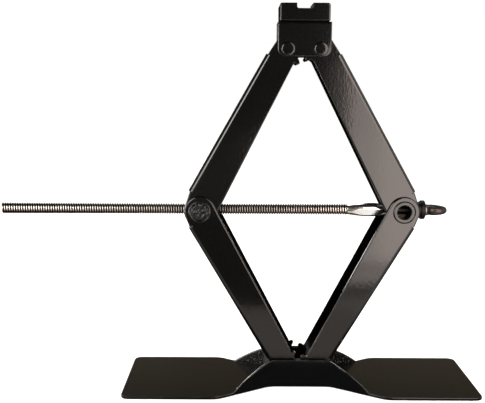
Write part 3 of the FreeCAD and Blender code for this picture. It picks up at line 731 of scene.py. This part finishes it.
# %% Sizes of the arms
BASE_PINS = {"left": pivot["lift"], "right": pivot["lower_right_pivot"]}
SADDLE_PINS = {"left": pivot["saddle_pivot"], "right": pivot["saddle_pivot"] * Vector((-1, 1, 1))}
arm_line = pivot["left_knee"] - pivot["lift"]
ARM_LENGTH = round(arm_line.length / MM, 2)
LIFT = round(math.degrees(math.atan2(arm_line.z, -arm_line.x)), 2)
SHEET = 2.5
FOLD_RADIUS = 4.6
WEB_START = 14.0
RELIEF = 1.6
SLOT = 0.12
SLOT_LEAN = 0.2
LIP_FROM = 14.0
EAR_FRONT = -91.0
EAR_STEPS = 80
GEAR = {"root": 13.6, "base": 14.5, "pitch": 16.0, "tip": 18.2}
FLANK = {"root": 10.0, "base": 10.0, "pitch": 8.28, "tip": 3.72}
TOOTH_STEP = 36.0
TEETH = 4
ARMS = {
    "upper": {"outer": 16.2, "wide": 20.4, "narrow": 16.0, "lip": 11.6, "gap": 12.4, "ear": 16.2},
    "lower": {"outer": 19.1, "wide": 18.6, "narrow": 11.8, "lip": 12.4, "gap": 8.7, "ear": 15.6},
}
TRUNNION_HOLE = {"left": 9.5, "right": 10.9}
FIRST_TOOTH = {"left": 1.5, "right": 1.0}
print("arm length", ARM_LENGTH, "lean", LIFT)

# %% [markdown]
# The flange's outline goes from the fold round the ear, along the lip and over the gear's teeth. It could be
# traced from the photograph, but arcs and lines between a few sizes are as true as a stamping tool. Points
# are in the arm's own plane: x along the arm from the geared pivot, z towards its back.

# %% Outline of a flange


def around(radius, degrees, centre=0.0):
    """A point of the arm's plane, in millimetres, by its distance and angle from a pivot."""
    return (centre + radius * math.cos(math.radians(degrees)), radius * math.sin(math.radians(degrees)))


def arc(radius, start, end, steps, centre=0.0):
    """The points of an arc, without its first one."""
    return [around(radius, start + (end - start) * i / steps, centre) for i in range(1, steps + 1)]


def gear_outline(lip, side):
    """The gear's outline, from the end of the lip round its teeth to the back of the arm."""
    lip_angle = math.degrees(math.atan2(-lip, math.sqrt(GEAR["root"] ** 2 - lip ** 2)))
    teeth = [FIRST_TOOTH[side] * TOOTH_STEP + LIFT - 180 - TOOTH_STEP * k for k in range(TEETH)]
    at = lip_angle
    points = []
    if teeth[0] + FLANK["root"] < lip_angle:
        points.append(around(GEAR["root"], lip_angle))
    for tooth in teeth:
        if tooth + FLANK["root"] < at:
            points += arc(GEAR["root"], at, tooth + FLANK["root"], 4)
        flank = [(GEAR[level], tooth + FLANK[level]) for level in ("base", "pitch", "tip")]
        flank += [(GEAR[level], tooth - FLANK[level]) for level in ("tip", "pitch", "base", "root")]
        points += [p for p in (around(*f) for f in flank) if p[1] < -lip or tooth != teeth[0]]
        at = tooth - FLANK["root"]
    return points + arc(GEAR["root"], at, -270, 8)


def arm_outline(size, side):
    """The flange's outline, from the two ends of the fold round the ear, the lip and the gear."""
    def web_back(along):
        """How far back the web lies, which tapers along the arm."""
        return size["narrow"] + (size["wide"] - size["narrow"]) * along / ARM_LENGTH

    web_end = ARM_LENGTH - size["gap"]
    ear, lip = size["ear"], size["lip"]
    first, last = web_back(WEB_START), web_back(web_end)
    points = [(WEB_START, first - FOLD_RADIUS), (web_end, last - FOLD_RADIUS)]
    corner = (web_end + SLOT + SLOT_LEAN, last - RELIEF)
    to_corner = math.hypot(corner[0] - ARM_LENGTH, corner[1])
    ear_back = math.degrees(math.atan2(corner[1], corner[0] - ARM_LENGTH) - math.acos(ear / to_corner))
    points += [(web_end + SLOT, last - FOLD_RADIUS), corner, around(ear, ear_back, ARM_LENGTH)]
    points += arc(ear, ear_back, EAR_FRONT, EAR_STEPS, ARM_LENGTH)
    points.append((ARM_LENGTH - LIP_FROM, -ear + (ear - lip) * LIP_FROM / ARM_LENGTH))
    points += gear_outline(lip, side)
    points += [(WEB_START - SLOT - SLOT_LEAN, first - RELIEF), (WEB_START - SLOT, first - FOLD_RADIUS)]
    return points


print("outline points", {level: len(arm_outline(size, "left")) for level, size in ARMS.items()})

# %% [markdown]
# The press leaves a soft rim on the outside of the sheet, widest round the ear. One bevel for the whole rim
# would blunt the teeth, so each edge gets a weight of its own and a Bevel modifier reads the weights. The
# holes are cut by a turned punch with flared ends, which rounds their rims in the same stroke.

# %% Rims and holes
EAR_ROUNDING = 1.7
EAR_REACH = 6.0
LIP_ROUNDING = 0.45
GEAR_ROUNDING = 0.5
HOLE_ROUNDING = 0.75
RIM_ANGLE = math.radians(38)
NEAR_PART, FAR_PART = 0.13, 0.5
HAIR = 0.01
GEAR_MARGIN = 0.1
PUNCH_PAST = 1.0


def in_slot(point, size):
    """Whether a point lies in one of the two slots where the flange is cut free from the end of the web."""
    past_web = max(WEB_START - point.x, point.x - (ARM_LENGTH - size["gap"]))
    return -HAIR < past_web < SLOT + SLOT_LEAN + HAIR and point.z > size["narrow"] - FOLD_RADIUS


def rim_rounding(point, size):
    """How far the rim of the outer skin is rounded at a point: most on the ear, least along the lip."""
    if in_slot(point, size):
        return 0.0
    if math.hypot(point.x, point.z) < GEAR["tip"] + GEAR_MARGIN:
        return GEAR_ROUNDING
    on_ear = math.hypot(point.x - ARM_LENGTH, point.z) < size["ear"] + EAR_REACH
    return EAR_ROUNDING if on_ear else LIP_ROUNDING


def round_rim(piece, skin, size):
    """Bevels the rim of the outer skin, whose vertices come first, by weights on its edges."""
    edit(piece)
    shape = bmesh.from_edit_mesh(piece.data)
    weight = shape.edges.layers.float.new("bevel_weight_edge")
    for edge in shape.edges:
        middle = (edge.verts[0].co + edge.verts[1].co) / 2 / MM
        if max(v.index for v in edge.verts) < skin and edge.calc_face_angle(0) > RIM_ANGLE:
            edge[weight] = rim_rounding(middle, size) / EAR_ROUNDING
    bmesh.update_edit_mesh(piece.data)
    done()
    modify(piece, "BEVEL", limit_method="WEIGHT", width=EAR_ROUNDING * MM, segments=5,
           use_clamp_overlap=False)


def punch(piece, centre, radius, outer):
    """Cuts a hole across the arm whose outer rims are rounded."""
    wide = radius + HOLE_ROUNDING
    rim = [(-outer - PUNCH_PAST, 0.0), (-outer - PUNCH_PAST, wide), (-outer, wide),
           (-outer + NEAR_PART * HOLE_ROUNDING, radius + FAR_PART * HOLE_ROUNDING),
           (-outer + FAR_PART * HOLE_ROUNDING, radius + NEAR_PART * HOLE_ROUNDING),
           (-outer + HOLE_ROUNDING, radius)]
    combine(piece, "DIFFERENCE", turn("punch", both_ends(rim), centre, "Y", steps=72))


print("roundings", EAR_ROUNDING, LIP_ROUNDING, GEAR_ROUNDING, HOLE_ROUNDING)

# %% [markdown]
# Now the arm is pressed. The fold is spun by a quarter turn about an axis one radius inside the flange, half
# of the web follows, and a Mirror modifier makes the other half. Solidify gives the sheet its thickness
# inwards, so the outside keeps the drawn size.

# %% Pressing an arm


def press_arm(level, side, pin_hole):
    """One arm in its own frame: x along the arm from the geared pivot, z towards the web's back."""
    size = ARMS[level]
    outer = size["outer"]
    outline = [Vector((x, -outer, z)) * MM for x, z in arm_outline(size, side)]
    piece = draw(f"pressed_{level}_{side}_arm", outline)
    bpy.ops.mesh.select_all(action="SELECT")
    bpy.ops.mesh.edge_face_add()
    bpy.ops.mesh.select_mode(type="EDGE")
    bpy.ops.mesh.select_all(action="DESELECT")
    start, end = outline[0], outline[1]
    select_edges(piece, lambda edge: all(
        min((v.co - start).length, (v.co - end).length) < TINY for v in edge.verts))
    inside = start + Vector((0, FOLD_RADIUS * MM, 0))
    bpy.ops.mesh.spin(steps=8, angle=math.radians(90), center=inside, axis=(end - start).normalized())
    bpy.ops.mesh.extrude_edges_move(TRANSFORM_OT_translate={"value": (0, (outer - FOLD_RADIUS) * MM, 0)})
    done()
    modify(piece, "MIRROR", use_axis=(False, True, False), use_clip=True, merge_threshold=TINY)
    edit(piece)
    weld(TINY, outward=True)
    done()
    skin = len(piece.data.vertices)
    modify(piece, "SOLIDIFY", thickness=SHEET * MM, offset=-1.0, use_even_offset=True)
    round_rim(piece, skin, size)
    for along, radius in ((0.0, pin_hole), (ARM_LENGTH, TRUNNION_HOLE[side])):
        punch(piece, Vector((along, 0, 0)) * MM, radius, outer)
    return piece


print("sheet", SHEET, "fold radius", FOLD_RADIUS)

# %% [markdown]
# The four arms are two shapes, each in a left and a right form whose teeth are half a step apart, so that
# they mesh. Each is pressed lying flat, where its sizes are easy to read, and then leaned into place. The
# upper right arm has a wider hole for its saddle pin, as in the frame.

# %% Making and leaning the arms
PIN_HOLE = 5.1
LOOSE_PIN_HOLE = 5.35
PIVOTS = {"lower": BASE_PINS, "upper": SADDLE_PINS}
TURNS = {
    "lower": {"left": Matrix.Identity(4), "right": Matrix.Rotation(math.pi, 4, "Z")},
    "upper": {"left": Matrix.Rotation(math.pi, 4, "X"), "right": Matrix.Rotation(math.pi, 4, "Y")},
}
LEAN = Matrix.Rotation(math.radians(LIFT - 180), 4, "Y")
for level in ARMS:
    for side in TRUNNION_HOLE:
        loose = (level, side) == ("upper", "right")
        arm = press_arm(level, side, LOOSE_PIN_HOLE if loose else PIN_HOLE)
        arm.matrix_world = Matrix.Translation(PIVOTS[level][side]) @ TURNS[level][side] @ LEAN
        settle(arm)
        measure(arm, f"{level}_{side}_arm")
        hand_over(arm, f"{level}_{side}_arm", "black_paint", black_enamel, f"{level}_{side}_arm")

# %% [markdown]
# ## Pieces whose CAD shape is right
# The base, the saddle and the hollow trunnion already have their shape, and only their edges are too sharp:
# paint and the press round every real edge. They could be modelled anew, but a copy keeps the CAD's sizes.
# It is merged into one skin, its flat faces are joined up, and its outward edges get a small bevel, except
# where a test keeps them sharp.

# %% Rounding the edges of a copy
SEAM = 0.002 * MM
FLAT_ANGLE = math.radians(0.3)
SHARP_ANGLE = math.radians(30)
SLIVER = 0.05 * MM


def rounded_copy(node, name, width, keep_sharp=lambda point: False, closed_holes=()):
    """A copy of a CAD node with its outward edges rounded, except those that the test keeps sharp."""
    pick(frame["nodes"][node])
    bpy.ops.object.duplicate()
    piece = bpy.context.object
    piece.name = name
    piece.data.name = name
    piece.parent = None
    for key in [key for key in piece.keys() if key.startswith("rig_")]:
        del piece[key]
    edit(piece)
    weld(SEAM)
    for place in closed_holes:
        close_hole(piece, place)
    bpy.ops.mesh.select_all(action="SELECT")
    bpy.ops.mesh.dissolve_limited(angle_limit=FLAT_ANGLE)
    bpy.ops.mesh.select_all(action="DESELECT")
    select_edges(piece, lambda edge: (
        edge.is_convex and edge.calc_face_angle(0) > SHARP_ANGLE
        and not keep_sharp((edge.verts[0].co + edge.verts[1].co) / 2)))
    bpy.ops.mesh.bevel(offset=width, segments=3, profile=0.5, clamp_overlap=False)
    weld(SLIVER)
    done()
    return piece


print("edges above", round(math.degrees(SHARP_ANGLE)), "degrees are rounded")

# %% [markdown]
# The base's rivets are flush and painted over, so its walls look plain. The rivets could fill their holes,
# but a hair line would show round each. So the walls of the holes are taken out and both rims are closed.

# %% The base
BASE_ROUNDING = 0.7 * MM
HOLE_REACH = 7.4 * MM
WALL_INSIDE = 15 * MM
FLAT_WALL = 0.95


def close_hole(piece, place):
    """Takes out the wall of a hole across the jack and closes both its rims."""
    bpy.ops.mesh.select_mode(type="FACE")
    bpy.ops.mesh.select_all(action="DESELECT")
    shape = bmesh.from_edit_mesh(piece.data)
    shape.normal_update()
    for face in shape.faces:
        middle = face.calc_center_median() - place
        in_reach = math.hypot(middle.x, middle.z) < HOLE_REACH and abs(middle.y) > WALL_INSIDE
        if in_reach and abs(face.normal.y) < FLAT_WALL:
            face.select_set(True)
    bmesh.update_edit_mesh(piece.data)
    bpy.ops.mesh.delete(type="FACE")
    bpy.ops.mesh.select_mode(type="EDGE")
    bpy.ops.mesh.select_all(action="SELECT")
    bpy.ops.mesh.fill_holes(sides=0)


base = rounded_copy("base", "pressed_base", BASE_ROUNDING, closed_holes=BASE_PINS.values())
measure(base, "base")
hand_over(base, "base", "black_paint", gritty_enamel, "base")

# %% [markdown]
# The saddle is a bracket and a notched cap. The real bracket's lower right corner is bent back a little and
# catches the light. Moving the corner's vertices alone would buckle its large flat face, so the wall is
# first cut along the bend. The bracket's top edge and the rims round its rivets stay sharp, because the cap
# and the rivets cover them.

# %% The saddle
BRACKET_ROUNDING = 0.75 * MM
CAP_ROUNDING = 0.42 * MM
RIVET_REACH = 6.0 * MM
TOP_MARGIN = 0.5 * MM
FRONT_WALL = -14 * MM
BEND_FROM = Vector((25.0, 0, 357.0)) * MM
BEND_TO = Vector((16.5, 0, 335.0)) * MM
BEND_SLOPE = 0.05
bracket_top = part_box("saddle_bracket")[1].z


def covered(point):
    """Whether a point of the bracket lies at its top edge or at a rivet."""
    at_rivet = any(math.hypot(point.x - p.x, point.z - p.z) < RIVET_REACH for p in SADDLE_PINS.values())
    return at_rivet or point.z > bracket_top - TOP_MARGIN


def bend_corner(piece, start, end, slope):
    """Bends a corner of the front wall back a little, along the line from start to end."""
    to_corner = (end - start).cross(Vector((0, 1, 0))).normalized()
    edit(piece, "FACE")
    shape = bmesh.from_edit_mesh(piece.data)
    for face in shape.faces:
        face.select_set(face.calc_center_median().y < FRONT_WALL)
    bmesh.update_edit_mesh(piece.data)
    bpy.ops.mesh.bisect(plane_co=start, plane_no=to_corner)
    done()
    for vertex in piece.data.vertices:
        past = (vertex.co - start).dot(to_corner)
        if past > 0 and vertex.co.y < FRONT_WALL:
            vertex.co.y += past * slope
    print(piece.name, "corner bent towards", [round(c, 2) for c in to_corner])


bracket = rounded_copy("saddle_bracket", "folded_bracket", BRACKET_ROUNDING, covered)
bend_corner(bracket, BEND_FROM, BEND_TO, BEND_SLOPE)
hand_over(bracket, "saddle", "black_paint", black_enamel, "saddle_bracket")
cap = rounded_copy("saddle_cap", "notched_cap", CAP_ROUNDING)
hand_over(cap, "saddle", "black_paint", black_enamel, "saddle_cap")

# %% [markdown]
# The right trunnion is a hollow bearing with thick paint on the rims of its two open ends. A bevel all over
# would spoil the seats that turn in the arms, so a test keeps everything but the ends sharp.

# %% The cross bearing
BEARING_ROUNDING = 1.0 * MM
BEARING_INSIDE = 19.0 * MM
tube = rounded_copy("right_trunnion", "cross_bearing", BEARING_ROUNDING,
                    lambda point: abs(point.y) < BEARING_INSIDE)
hand_over(tube, "right_trunnion", "trunnion_paint", trunnion_enamel, "right_trunnion")

# %% [markdown]
# ## Turned and riveted pieces
# A rivet is a pin whose ends were pressed into heads. A squashed sphere would do from afar, but the light
# catches a head's edge, so each rivet is a section with that edge, spun once about its axis. The saddle's
# rivets have flat heads with a rounded edge. The base's lie flush under the paint.

# %% Rivets of the saddle and the base
SADDLE_HEAD = [(-20.6, 0.0), (-20.6, 3.0), (-20.55, 5.2), (-20.4, 5.9), (-20.1, 6.4), (-19.7, 6.7),
               (-19.2, 6.8), (-19.2, 5.0)]
BASE_HEAD = [(-20.4, 0.0), (-20.4, 4.6), (-20.0, 5.0)]
for side, place in SADDLE_PINS.items():
    rivet = turn(f"saddle_rivet_{side}", both_ends(SADDLE_HEAD), place, "Y")
    measure(rivet, f"saddle_pin_{side}")
    hand_over(rivet, "saddle", "black_paint", black_enamel, f"saddle_pin_{side}")
for side, place in BASE_PINS.items():
    rivet = turn(f"base_rivet_{side}", both_ends(BASE_HEAD), place, "Y")
    hand_over(rivet, "base", "black_paint", black_enamel, f"base_pin_{side}")

# %% [markdown]
# The left trunnion is a cross nut: a barrel with the screw's bore and a pin at each end, which a hammer has
# spread into a rough head over the arm's ear. It is turned and drilled. A bump in the finish would leave the
# head's edge smooth, so the marks are real dents: vertices move in and out by a noise that is drawn out
# along the blows.

# %% The cross nut with its peened heads
NUT_HEAD = [(-21.7, 0.0), (-21.75, 2.4), (-21.8, 4.8), (-21.7, 6.6), (-21.35, 7.9), (-20.75, 8.6),
            (-20.6, 8.9), (-20.9, 9.2), (-21.25, 9.55), (-21.4, 10.0), (-21.3, 10.45), (-21.05, 10.85),
            (-20.65, 11.15), (-20.1, 11.35), (-19.3, 11.4)]
NUT_SHANK = [(-19.3, 9.4), (-13.4, 9.4), (-13.4, 12.0)]
HEAD_STEP = 0.4
NUT_BORE = 5.7 * MM
DRILL_LENGTH = 60 * MM
nut_middle = pivot["left_trunnion_pivot"]
nut = turn("cross_nut", both_ends(finely(NUT_HEAD, HEAD_STEP) + NUT_SHANK), nut_middle, "Y", steps=128)
bpy.ops.mesh.primitive_cylinder_add(vertices=48, radius=NUT_BORE, depth=DRILL_LENGTH, location=nut_middle,
                                    rotation=(0, math.radians(90), 0))
combine(nut, "DIFFERENCE", bpy.context.object)
print("nut turned and drilled, faces", len(nut.data.polygons))

# %% Hammer marks on the nut
BLOW_ANGLE = math.radians(52)
BLOW_LENGTH, BLOW_WIDTH = 3.0, 1.15
LUMP_SIZE = 2.8
MARK_DEPTH, RIM_MARK_DEPTH, LUMP_DEPTH = 0.42, 0.06, 0.16
HIGHEST = 0.4
HEAD_FROM = 20.2 * MM
RIM_FROM = 8.9
blow = Vector((math.cos(BLOW_ANGLE), 0, math.sin(BLOW_ANGLE)))
beside = Vector((-blow.z, 0, blow.x))
for vertex in nut.data.vertices:
    if abs(vertex.co.y) < HEAD_FROM:
        continue
    spot = (vertex.co - nut_middle) / MM
    depth = RIM_MARK_DEPTH if math.hypot(spot.x, spot.z) > RIM_FROM else MARK_DEPTH
    marks = dent_noise.noise(Vector((spot.dot(blow) / BLOW_LENGTH, spot.dot(beside) / BLOW_WIDTH, spot.y)))
    lumps = dent_noise.noise(spot / LUMP_SIZE)
    height = min(depth * marks + LUMP_DEPTH * lumps, HIGHEST)
    vertex.co.y += height * MM * math.copysign(1, vertex.co.y)
measure(nut, "left_trunnion")
hand_over(nut, "left_trunnion", "trunnion_paint", nut_enamel, "left_trunnion")

# %% [markdown]
# ## The lifting screw
# One bar: a rolled thread, a crimped flat that stops it in the bearing, a plain neck and a forged eye. The
# thread could be a pattern in the finish, but its teeth show in outline. So it is one tooth's section, wound
# along the bar by a Screw modifier, cut off square at both ends and closed.

# %% Thread
PITCH = 2.5
CREST, THREAD_ROOT = 5.55, 4.35
CREST_EDGE = CREST - 0.1
TOOTH = [(0.0, THREAD_ROOT), (0.35, THREAD_ROOT), (0.8, CREST_EDGE), (0.92, CREST), (1.58, CREST),
         (1.7, CREST_EDGE), (2.15, THREAD_ROOT), (PITCH, THREAD_ROOT)]
SCREW_LEFT = SCREW_ENDS[0] / MM
CRIMP_START = SCREW_AXIS.x / MM - 55.8
THREAD_PAST_CUT = 3.0
THREAD_IN_CRIMP = 1.0
FIRST_CUT = 0.6 * PITCH
turns = int((CRIMP_START + THREAD_PAST_CUT - SCREW_LEFT) / PITCH)
screw = draw("forged_screw", [Vector((x, r, 0)) * MM for x, r in TOOTH], closed=False)
done()
modify(screw, "SCREW", axis="X", angle=math.tau, screw_offset=PITCH * MM, iterations=turns, steps=24,
       render_steps=24, use_merge_vertices=True, merge_threshold=MERGE, use_smooth_shade=True)
screw.location = (SCREW_LEFT * MM - FIRST_CUT * MM, 0, SCREW_AXIS.z)
settle(screw)
edit(screw, "VERT")
weld(MERGE, outward=True)
for cut, sign in ((SCREW_LEFT, 1), (CRIMP_START + THREAD_IN_CRIMP, -1)):
    bpy.ops.mesh.select_all(action="SELECT")
    bpy.ops.mesh.bisect(plane_co=Vector((cut, 0, 0)) * MM, plane_no=(sign, 0, 0), use_fill=True,
                        clear_inner=True, threshold=TINY)
bpy.ops.mesh.select_all(action="DESELECT")
bpy.ops.mesh.select_non_manifold(use_wire=False, use_multi_face=False, use_non_contiguous=False,
                                 use_verts=False)
bpy.ops.mesh.fill()
done()
print("thread turns", turns, "faces", len(screw.data.polygons))

# %% [markdown]
# Behind the thread the bar swells, narrows to the neck in the bearing and ends in a shoulder under the eye.
# All of it is round before the dies close on it, so it is one section, spun about the bar's axis. Its long
# runs are finely divided for the dies.

# %% Crimp and neck
SWELL = [(-60.0, 0.0), (-60.0, 3.6), (-57.0, 4.6), (-54.5, 5.2), (-50.0, 5.85), (-45.0, 6.45),
         (-39.0, 6.9), (-31.0, 7.0), (-25.0, 6.8), (-19.5, 6.0), (-15.5, 4.9), (-13.8, 4.6), (23.9, 4.6),
         (24.0, 6.0), (26.4, 6.0), (27.6, 5.6), (29.0, 0.0)]
SWELL_STEP = 0.8
neck = turn("crimp_and_neck", finely(SWELL, SWELL_STEP), SCREW_AXIS, "X", steps=96)
print("neck faces", len(neck.data.polygons))

# %% [markdown]
# The crank hooks into the eye, a ring that was forged thinner towards its end. It could be spun, but a torus
# is there at once. It is made taller, and then each vertex is moved towards the bar's middle height, more so
# the further it lies from the shoulder.

# %% Eye
EYE_OFFSET = 35.5 * MM
EYE_RADIUS = 8.6 * MM
EYE_WIRE = 2.9 * MM
EYE_TALL = 1.75
EYE_TAPER = 0.19
eye_middle = SCREW_AXIS + Vector((EYE_OFFSET, 0, 0))
bpy.ops.mesh.primitive_torus_add(major_radius=EYE_RADIUS, minor_radius=EYE_WIRE, major_segments=64,
                                 minor_segments=24, location=eye_middle)
eye = bpy.context.object
eye.name = "eye"
eye.scale = (1, 1, EYE_TALL)
settle(eye)
for vertex in eye.data.vertices:
    reach = (vertex.co.x - eye_middle.x) / (EYE_RADIUS + EYE_WIRE)
    thin = 1.0 - EYE_TAPER * (1 + reach)
    vertex.co.z = eye_middle.z + (vertex.co.z - eye_middle.z) * thin
print("eye", [round(c / MM, 1) for c in eye_middle])

# %% [markdown]
# Two dies, turned a little about the bar, crushed the swollen stretch and left a bright flat like a lens. A
# cut would take the steel away, but a press moves it: every vertex that stands past a die is pushed back to
# its face. Then thread, neck and eye are united, so the bar has one skin.

# %% Pressing the crimp and joining the bar
DIE_TURN = math.radians(16)
DIE_MIDDLE = SCREW_AXIS.x - 35.8 * MM
DIE_REACH = 26 * MM
DIE_HALF_GAP = 5.9 * MM
press_way = Vector((0, math.cos(DIE_TURN), math.sin(DIE_TURN)))
for part in (screw, neck):
    for vertex in part.data.vertices:
        off = (vertex.co - SCREW_AXIS).dot(press_way)
        if abs(vertex.co.x - DIE_MIDDLE) <= DIE_REACH and abs(off) > DIE_HALF_GAP:
            vertex.co -= press_way * (off - math.copysign(DIE_HALF_GAP, off))
for part in (neck, eye):
    combine(screw, "UNION", part)
measure(screw, "lifting_screw")
hand_over(screw, "screw", "screw_steel", rolled_steel, "lifting_screw")

# %% [markdown]
# ## What is left
# The thrust collar is a black washer between the bearing and the eye, and only needs its edges rounded. The
# spacers and the bush are plain tubes that hardly show, so the CAD nodes stay and just get a finish.

# %% Collar, spacers and bush
COLLAR_ROUNDING = 0.6 * MM
STAYING = {
    "base_spacer_left": turned_steel, "base_spacer_right": turned_steel,
    "saddle_spacer_left": turned_steel, "saddle_spacer_right": turned_steel, "thrust_bush": collar_black,
}
for node, finish in STAYING.items():
    frame["nodes"][node].data.materials.clear()
    frame["nodes"][node].data.materials.append(finish)
collar = rounded_copy("thrust_collar", "black_collar", COLLAR_ROUNDING)
hand_over(collar, "right_trunnion", "collar_steel", collar_black, "thrust_collar")
print("finishes on", list(STAYING))
